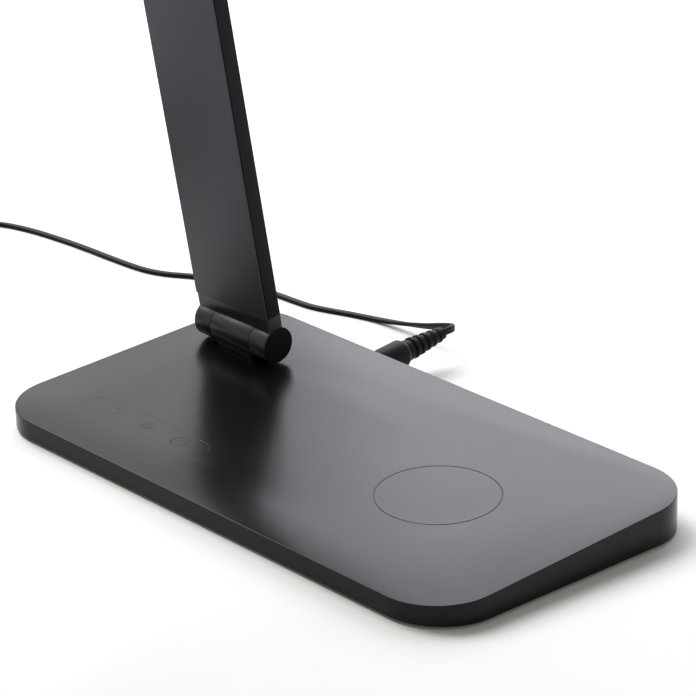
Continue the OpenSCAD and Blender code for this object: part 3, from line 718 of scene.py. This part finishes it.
class LAMP_OT_stage(bpy.types.Operator):
    """Makes the pale floor and the soft light"""

    bl_idname = "lamp.stage"
    bl_label = "Stage"

    floor_r = 12.0
    # Distances in metres between which the floor goes over to its far emission
    reach = (0.7, 2.5)
    far_lift = 0.95
    cool = (1.0, 0.94, 1.05)
    plain = (1.0, 1.0, 1.0)
    # Name, place in metres, size in metres, colour
    lamps = (("back_lamp", (-0.91, 1.64, 1.3), (1.4, 1.5), cool),
             ("corner_lamp", (-1.53, 1.07, 1.3), (0.7, 1.5), cool),
             ("side_lamp", (-1.22, -0.1, 1.6), (1.4, 1.4), plain))

    def execute(self, context):
        scene = context.scene
        scene.view_settings.view_transform = "Standard"
        settings = scene.lamp_stage
        bpy.ops.mesh.primitive_circle_add(vertices=96, radius=self.floor_r, fill_type="NGON")
        floor = context.object
        floor.name = "floor"
        # What the eye and mirrors see of the floor is lifted to white, more so beyond the reach
        # of the lamps, and it keeps its shadows
        material, tree, shader = new_material("pale_floor", "#f4f4f3", {
            "Roughness": 0.8, "Specular IOR Level": 0.1, "Emission Color": (1, 1, 1, 1)})
        where = add_node(tree, "ShaderNodeTexCoord").outputs["Object"]
        away = add_node(tree, "ShaderNodeVectorMath", {0: where}, operation="LENGTH")
        wanted = add_node(tree, "ShaderNodeMapRange", {"Value": away.outputs["Value"]},
                          {"From Min": self.reach[0], "From Max": self.reach[1],
                           "To Min": settings.floor_lift, "To Max": self.far_lift})
        lift = add_node(tree, "ShaderNodeMath",
                        {0: seen_rays(tree), 1: wanted.outputs["Result"]}, operation="MULTIPLY")
        tree.links.new(lift.outputs[0], shader.inputs["Emission Strength"])
        floor.data.materials.append(material)

        world = bpy.data.worlds.new("even_sky")
        world.use_nodes = True
        scene.world = world
        tree = world.node_tree
        sky = tree.nodes["Background"]
        sky.inputs["Color"].default_value = (1, 0.96, 0.88, 1)
        sky.inputs["Strength"].default_value = settings.sky
        shown = add_node(tree, "ShaderNodeBackground",
                         inputs={"Color": (1, 1, 1, 1), "Strength": 1.0})
        mixed = add_node(tree, "ShaderNodeMixShader",
                         {0: seen_rays(tree), 1: sky.outputs[0], 2: shown.outputs[0]})
        tree.links.new(mixed.outputs[0], tree.nodes["World Output"].inputs["Surface"])

        for name, location, size, colour in self.lamps:
            soft_lamp(name, getattr(settings, name), location, size, colour)
        return {"FINISHED"}


# ---------- base ----------


def groove_ring(radius, at, rod=0.25, lift=0.12, steps=160):
    """A round rod bent to a ring in the top surface, which cuts a groove with sloping sides."""
    bpy.ops.mesh.primitive_torus_add(
        location=to_m(at[0], at[1], lift), major_radius=radius * MM, minor_radius=rod * MM,
        major_segments=steps, minor_segments=12)
    bpy.ops.object.transform_apply(location=True, rotation=False, scale=False)
    return bpy.context.object


def groove_arc(radius, at, start, turn):
    """The rod of a key mark bent to a part of a ring, from a start angle on, in degrees."""
    a = math.radians(start)
    bpy.ops.mesh.primitive_circle_add(
        vertices=10, radius=MARK_ROD * MM, fill_type="NGON", rotation=(math.pi / 2, 0, a),
        location=to_m(at[0] + radius * math.cos(a), at[1] + radius * math.sin(a), MARK_LIFT))
    piece = bpy.context.object
    bpy.ops.object.transform_apply(location=True, rotation=True, scale=False)
    edit(piece)
    bpy.ops.mesh.select_all(action="SELECT")
    bpy.ops.mesh.spin(steps=round(turn / 12), angle=math.radians(turn),
                      center=to_m(*at, 0), axis=(0, 0, 1))
    bpy.ops.mesh.select_all(action="SELECT")
    bpy.ops.mesh.normals_make_consistent(inside=False)
    leave_edit()
    return piece


def groove_bar(a, b):
    """The rod of a key mark, straight from a to b in the top surface."""
    middle = ((a[0] + b[0]) / 2, (a[1] + b[1]) / 2, MARK_LIFT)
    turn = math.atan2(b[1] - a[1], b[0] - a[0])
    bpy.ops.mesh.primitive_cylinder_add(
        vertices=10, radius=MARK_ROD * MM, depth=math.dist(a, b) * MM,
        location=to_m(*middle), rotation=(0, math.pi / 2, turn))
    bpy.ops.object.transform_apply(location=True, rotation=True, scale=False)
    return bpy.context.object


def icon_grooves():
    """Cutters for the three plain key marks: on and off, brightness, and timer."""
    def off(at, x, y):
        return at[0] + x, at[1] + y

    power, light, timer = [(x, KEYS_Y) for x in KEYS_X]
    out = [groove_arc(2.3, power, start=120, turn=300),
           groove_bar(off(power, 0, 1.0), off(power, 0, 2.9)),
           groove_ring(1.3, light, MARK_ROD, MARK_LIFT, 36)]
    for k in range(8):
        c, s = math.cos(math.tau * k / 8), math.sin(math.tau * k / 8)
        out.append(groove_bar(off(light, 2.0 * c, 2.0 * s), off(light, 2.8 * c, 2.8 * s)))
    out += [groove_ring(2.6, timer, MARK_ROD, MARK_LIFT, 48),
            groove_bar(timer, off(timer, 0, 1.6)),
            groove_bar(timer, off(timer, 1.2, 0))]
    return out


def groove_outline(length, width, at, rod=0.17, lift=0.09):
    """A rod bent round an outline with half-round ends."""
    end_r = width / 2
    reach = length / 2 - end_r
    bpy.ops.mesh.primitive_torus_add(
        location=(0, 0, 0), major_radius=end_r * MM, minor_radius=rod * MM,
        major_segments=64, minor_segments=12)
    piece = bpy.context.object
    edit(piece)
    bpy.ops.mesh.select_all(action="SELECT")
    bpy.ops.mesh.bisect(plane_co=(0, 0, 0), plane_no=(1, 0, 0))
    leave_edit()
    for v in piece.data.vertices:
        if abs(v.co.x) > SAME:
            v.co.x += math.copysign(reach * MM, v.co.x)
    place(piece, Matrix.Translation(to_m(at[0], at[1], lift)))
    return piece


class LAMP_OT_base_cover(bpy.types.Operator):
    """Moulds the base cover with its ring, its touch panel and its openings"""

    bl_idname = "lamp.base_cover"
    bl_label = "Base cover"

    def execute(self, context):
        # Deep enough to reach below the table, so that the underside can be cut level
        deep = 20.0
        slope_w = BASE_W / math.cos(SLOPE)
        cover = block("base_shell", (BASE_L, slope_w, deep), BASE_CORNER, (0, 0, -deep / 2),
                      top=0.25, corner_steps=20, steps=4)
        cavity = block("cavity", (BASE_L - 2 * WALL, slope_w - 2 * WALL, deep),
                       BASE_CORNER - WALL, (0, 0, -TOP_T - deep / 2), corner_steps=16)
        cut(cover, cavity, groove_ring(CHARGE_R, CHARGE_AT),
            groove_outline(TOUCH_L, TOUCH_W, TOUCH_AT), *icon_grooves())
        place(cover, top_frame())
        thick = 30.0
        below = block("below", (1.5 * BASE_L, BASE_L, thick), 5.0, (0, 0, PAD_H - thick / 2))
        slot = block("post_slot", (POST_W + 2 * POST_ROOM, POST_D + 2 * POST_ROOM, deep),
                     CUTTER_R, (HINGE.x, HINGE.y, 12.0))
        bpy.ops.mesh.primitive_cylinder_add(vertices=48, radius=JACK_HOLE_R * MM, depth=12 * MM)
        hole = context.object
        place(hole, jack_frame())
        cut(cover, below, slot, hole)
        finish_piece(cover, "base_shell", "cover", "base",
                     ("base_cover",))
        return {"FINISHED"}


class LAMP_OT_rest_pad(bpy.types.Operator):
    """Makes the soft pad under the base"""

    bl_idname = "lamp.rest_pad"
    bl_label = "Rest pad"

    def execute(self, context):
        pad = block("rest_sheet", (PAD_L, PAD_W, PAD_H), PAD_CORNER, (0, 0, PAD_H / 2),
                    bottom=0.3)
        finish_piece(pad, "rest_sheet", "pad", "base", ("rest_pad",))
        return {"FINISHED"}


# ---------- hinges and arm ----------


class LAMP_OT_hinges(bpy.types.Operator):
    """Eases the edges of the hinge castings and closes the barrels with caps"""

    bl_idname = "lamp.hinges"
    bl_label = "Hinges"

    castings = (("hinge_post", "base"), ("lower_yoke", "arm"), ("upper_yoke", "arm"),
                ("head_tongue", "head"))

    def execute(self, context):
        for node_name, body in self.castings:
            finish_piece(eased_copy(node_name, 0.06), node_name + "_casting", "joint", body,
                         (node_name,), smooth=35)
        # A thin domed flange covers the joint between the cap and its bore
        r, rim = BORE_R - 0.05, BARREL_R - 0.12
        profile = [(r, 0), (r, CAP_T), (rim, CAP_T), (rim, CAP_T + 0.06),
                   (rim - 0.08, CAP_T + 0.12), (r - 1, CAP_T + 0.15), (r - 3, CAP_T + 0.16)]
        for name, at in (("lower_caps", 0.0), ("upper_caps", ARM_L)):
            made = []
            for side in (-1, 1):
                cap = lathe("cap", profile)
                turn = Matrix.Rotation(side * math.pi / 2, 4, "Y")
                out = Matrix.Translation(to_m(side * (ARM_W / 2 - CAP_T), 0, 0))
                place(cap, arm_frame(at) @ out @ turn)
                made.append(cap)
            deselect()
            for cap in made:
                cap.select_set(True)
            context.view_layer.objects.active = made[0]
            bpy.ops.object.join()
            finish_piece(made[0], name + "_moulded", "cap", "arm",
                         (name,), smooth=35)
        return {"FINISHED"}


def arm_bar(name, length, front, depth, ease, back):
    """A bar as wide as the arm, along Z: its long back edges or all its front edges rounded."""
    bpy.ops.mesh.primitive_cube_add(size=1, location=to_m(0, front + depth / 2, 0),
                                    scale=to_m(ARM_W, depth, length))
    bar = bpy.context.object
    bar.name = name
    bpy.ops.object.transform_apply(location=True, rotation=False, scale=True)
    level = (front + depth if back else front) * MM
    edit(bar)
    pick_edges(bar, lambda e: all(abs(v.co.y - level) < SAME for v in e.verts)
               and (not back or abs(e.verts[0].co.z - e.verts[1].co.z) > length * MM / 2))
    bpy.ops.mesh.bevel(offset=ease * MM, segments=4, affect="EDGES")
    leave_edit()
    return bar


class LAMP_OT_arm(bpy.types.Operator):
    """Makes the arm's channel and its front plate"""

    bl_idname = "lamp.arm"
    bl_label = "Arm"

    def execute(self, context):
        seam = FRONT_T - ARM_T / 2
        length = ARM_L - 2 * YOKE_Z
        middle = YOKE_Z + length / 2
        depth = ARM_T / 2 - seam
        # The cutters are longer than the arm
        past = 2.0
        # The channel's darker colour is painted shade on the arm's sides
        channel = arm_bar("arm_channel_extrusion", length, seam, depth, ease=0.6, back=True)
        room = block("room", (ARM_W - 2 * CHANNEL_SIDE, depth, length + past), CUTTER_R,
                     (0, seam + (depth - 2 * CHANNEL_FLOOR) / 2, 0))
        cut(channel, room)
        place(channel, arm_frame(middle))
        finish_piece(channel, "arm_channel_extrusion", "channel", "arm",
                     ("arm_channel",))

        # The plate's edge is notched where it meets the channel, which leaves a thin dark seam
        # The plate's lighter colour is painted light on the arm's front
        plate = arm_bar("arm_front_plate", length, -ARM_T / 2, FRONT_T, ease=0.03, back=False)
        grooves = [block("groove", (2 * SEAM_DEPTH, SEAM_H, length + past), 0.02,
                         (s * ARM_W / 2, seam - SEAM_H / 2, 0)) for s in (-1, 1)]
        cut(plate, *grooves)
        place(plate, arm_frame(middle))
        finish_piece(plate, "arm_front_plate", "front", "arm",
                     ("arm_front",))
        return {"FINISHED"}


# ---------- head ----------


class LAMP_OT_head(bpy.types.Operator):
    """Makes the head's housing and its diffuser"""

    bl_idname = "lamp.head"
    bl_label = "Head"

    def execute(self, context):
        length = HEAD_REACH - HEAD_NEAR
        middle = -(HEAD_NEAR + HEAD_REACH) / 2
        led_l = HEAD_REACH - HEAD_WALL - LED_NEAR
        led_y = -(LED_NEAR + led_l / 2)
        shell = block("head_housing", (HEAD_W, length, HEAD_T), HEAD_CORNER,
                      (0, middle, HEAD_Z + HEAD_T / 2), top=1.0, bottom=0.25, steps=4)
        room = HEAD_T - HEAD_WALL
        inner_corner = HEAD_CORNER - HEAD_WALL
        # The cutter reaches 1 mm out of the underside
        cavity = block("cavity", (HEAD_W - 2 * HEAD_WALL, led_l, room + 1), inner_corner,
                       (0, led_y, HEAD_Z + (room - 1) / 2))
        pocket = block("pocket", POCKET, CUTTER_R,
                       (0, POCKET_Y, HEAD_Z + POCKET_TOP - POCKET[2] / 2))
        cut(shell, cavity, pocket)
        place(shell, head_frame())
        finish_piece(shell, "head_housing", "case", "head",
                     ("head_shell",))
        diffuser = block("head_diffuser", (HEAD_W - 2 * HEAD_WALL - DIFFUSER_ROOM,
                                           led_l - DIFFUSER_ROOM, DIFFUSER_T),
                         inner_corner - DIFFUSER_ROOM / 2,
                         (0, led_y, HEAD_Z + DIFFUSER_T / 2), bottom=0.35)
        place(diffuser, head_frame())
        finish_piece(diffuser, "head_diffuser", "opal", "head", ("diffuser",))
        return {"FINISHED"}


# ---------- plug and adaptor ----------


def ribbed_profile(start, end, r0, r1, rib_r, drop, ribs=5, pitch=2.85, first=2.5, wide=1.5):
    """Outline of a relief that tapers from r0 to r1, with rounded ribs that get smaller."""
    def core(z):
        return r0 + (r1 - r0) * (z - start) / (end - start)

    out = [(r0, start)]
    for i in range(ribs):
        z = start + first + pitch * i
        r = rib_r - drop * i
        out += [(core(z), z), (r - 0.25, z + 0.04), (r, z + 0.3), (r, z + wide - 0.3),
                (r - 0.25, z + wide - 0.04), (core(z + wide), z + wide)]
    return out + [(r1, end)]


class LAMP_OT_plug(bpy.types.Operator):
    """Makes the plug's moulded grip and its ribbed relief"""

    bl_idname = "lamp.plug"
    bl_label = "Plug"

    def execute(self, context):
        grip = lathe("plug_grip", [
            (3.7, 1.0), (4.1, 1.12), (4.35, 1.5), (4.5, 2.6), (4.6, 4.0),
            (4.65, GRIP_END - 2.2), (4.62, GRIP_END - 1.95), (4.5, GRIP_END - 1.75),
            (3.66, GRIP_END - 0.5), (3.6, GRIP_END - 0.3), (3.6, GRIP_END)])
        place(grip, jack_frame())
        finish_piece(grip, "plug_grip", "lead", "base", ("dc_plug",), smooth=40)
        profile = ribbed_profile(GRIP_END, RELIEF_END, r0=3.3, r1=2.1, rib_r=3.65, drop=0.28)
        # A collar continues the grip's end
        profile[0:1] = [(3.6, GRIP_END), (3.6, GRIP_END + 0.7), (3.4, GRIP_END + 0.9),
                        (3.24, GRIP_END + 0.9)]
        relief = lathe("plug_relief", profile)
        place(relief, jack_frame())
        finish_piece(relief, "plug_relief", "lead", "base", ("strain_relief",),
                     smooth=40)
        return {"FINISHED"}


class LAMP_OT_adaptor(bpy.types.Operator):
    """Makes the mains adaptor, its blades and its relief"""

    bl_idname = "lamp.adaptor"
    bl_label = "Adaptor"

    def execute(self, context):
        x, y = CASE_AT
        l, w, h = CASE_SIZE
        case = block("adaptor_back", (l, w, CASE_SPLIT), CASE_CORNER, (x, y, CASE_SPLIT / 2),
                     top=0.25, bottom=2.0, steps=5)
        finish_piece(case, "adaptor_back", "case", "base",
                     ("adaptor_case",))
        face = block("adaptor_front", (l - 2 * FACE_STEP, w - 2 * FACE_STEP, h - CASE_SPLIT),
                     CASE_CORNER - FACE_STEP, (x, y, (h + CASE_SPLIT) / 2),
                     top=2.4, bottom=0.25, steps=5)
        finish_piece(face, "adaptor_front", "case", "base",
                     ("adaptor_face",))
        finish_piece(eased_copy("adaptor_blades", 0.3), "mains_blades", "nickel", "base",
                     ("adaptor_blades",))
        relief = lathe("case_relief",
                       ribbed_profile(0, 18, r0=3.6, r1=2.2, rib_r=3.9, drop=0.25))
        out = Matrix.Translation(to_m(x, y + w / 2, RELIEF_Z))
        place(relief, out @ Matrix.Rotation(-math.pi / 2, 4, "X"))
        finish_piece(relief, "case_relief", "lead", "base", ("adaptor_relief",),
                     smooth=40)
        finish_piece(eased_copy("cord_tie", 0.15), "coil_strap", "lead", "base",
                     ("cord_tie",))
        return {"FINISHED"}


class LAMP_OT_inner_parts(bpy.types.Operator):
    """Dresses the parts that are carried over from the frame"""

    bl_idname = "lamp.inner_parts"
    bl_label = "Inner parts"

    def execute(self, context):
        for look, names in NODE_LOOKS.items():
            for name in names:
                dress(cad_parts[name], look)
        return {"FINISHED"}


# ---------- add-on ----------

PIECES = (LAMP_OT_camera, LAMP_OT_adaptor, LAMP_OT_plug, LAMP_OT_lead, LAMP_OT_base_cover,
          LAMP_OT_rest_pad, LAMP_OT_hinges, LAMP_OT_arm, LAMP_OT_head, LAMP_OT_inner_parts,
          LAMP_OT_stage)


class LAMP_PT_panel(bpy.types.Panel):
    """Lists the lamp's settings and pieces"""

    bl_idname = "LAMP_PT_panel"
    bl_label = "Desk lamp"
    bl_space_type = "VIEW_3D"
    bl_region_type = "UI"
    bl_category = "Desk lamp"

    def draw(self, context):
        scene = context.scene
        for settings in (scene.lamp_finish, scene.lamp_lead, scene.lamp_stage):
            for key in settings.bl_rna.properties.keys():
                if key not in ("rna_type", "name"):
                    self.layout.prop(settings, key)
        for piece in PIECES:
            self.layout.operator(piece.bl_idname)


CLASSES = (LampFinish, LampLead, LampStage, *PIECES, LAMP_PT_panel)


def register():
    for each in CLASSES:
        bpy.utils.register_class(each)
    bpy.types.Scene.lamp_finish = bpy.props.PointerProperty(type=LampFinish)
    bpy.types.Scene.lamp_lead = bpy.props.PointerProperty(type=LampLead)
    bpy.types.Scene.lamp_stage = bpy.props.PointerProperty(type=LampStage)


def unregister():
    del bpy.types.Scene.lamp_finish, bpy.types.Scene.lamp_lead, bpy.types.Scene.lamp_stage
    for each in reversed(CLASSES):
        bpy.utils.unregister_class(each)


def main():
    register()
    make_materials()
    for piece in PIECES:
        group, name = piece.bl_idname.split(".")
        getattr(getattr(bpy.ops, group), name)()


if __name__ == "__main__":
    main()
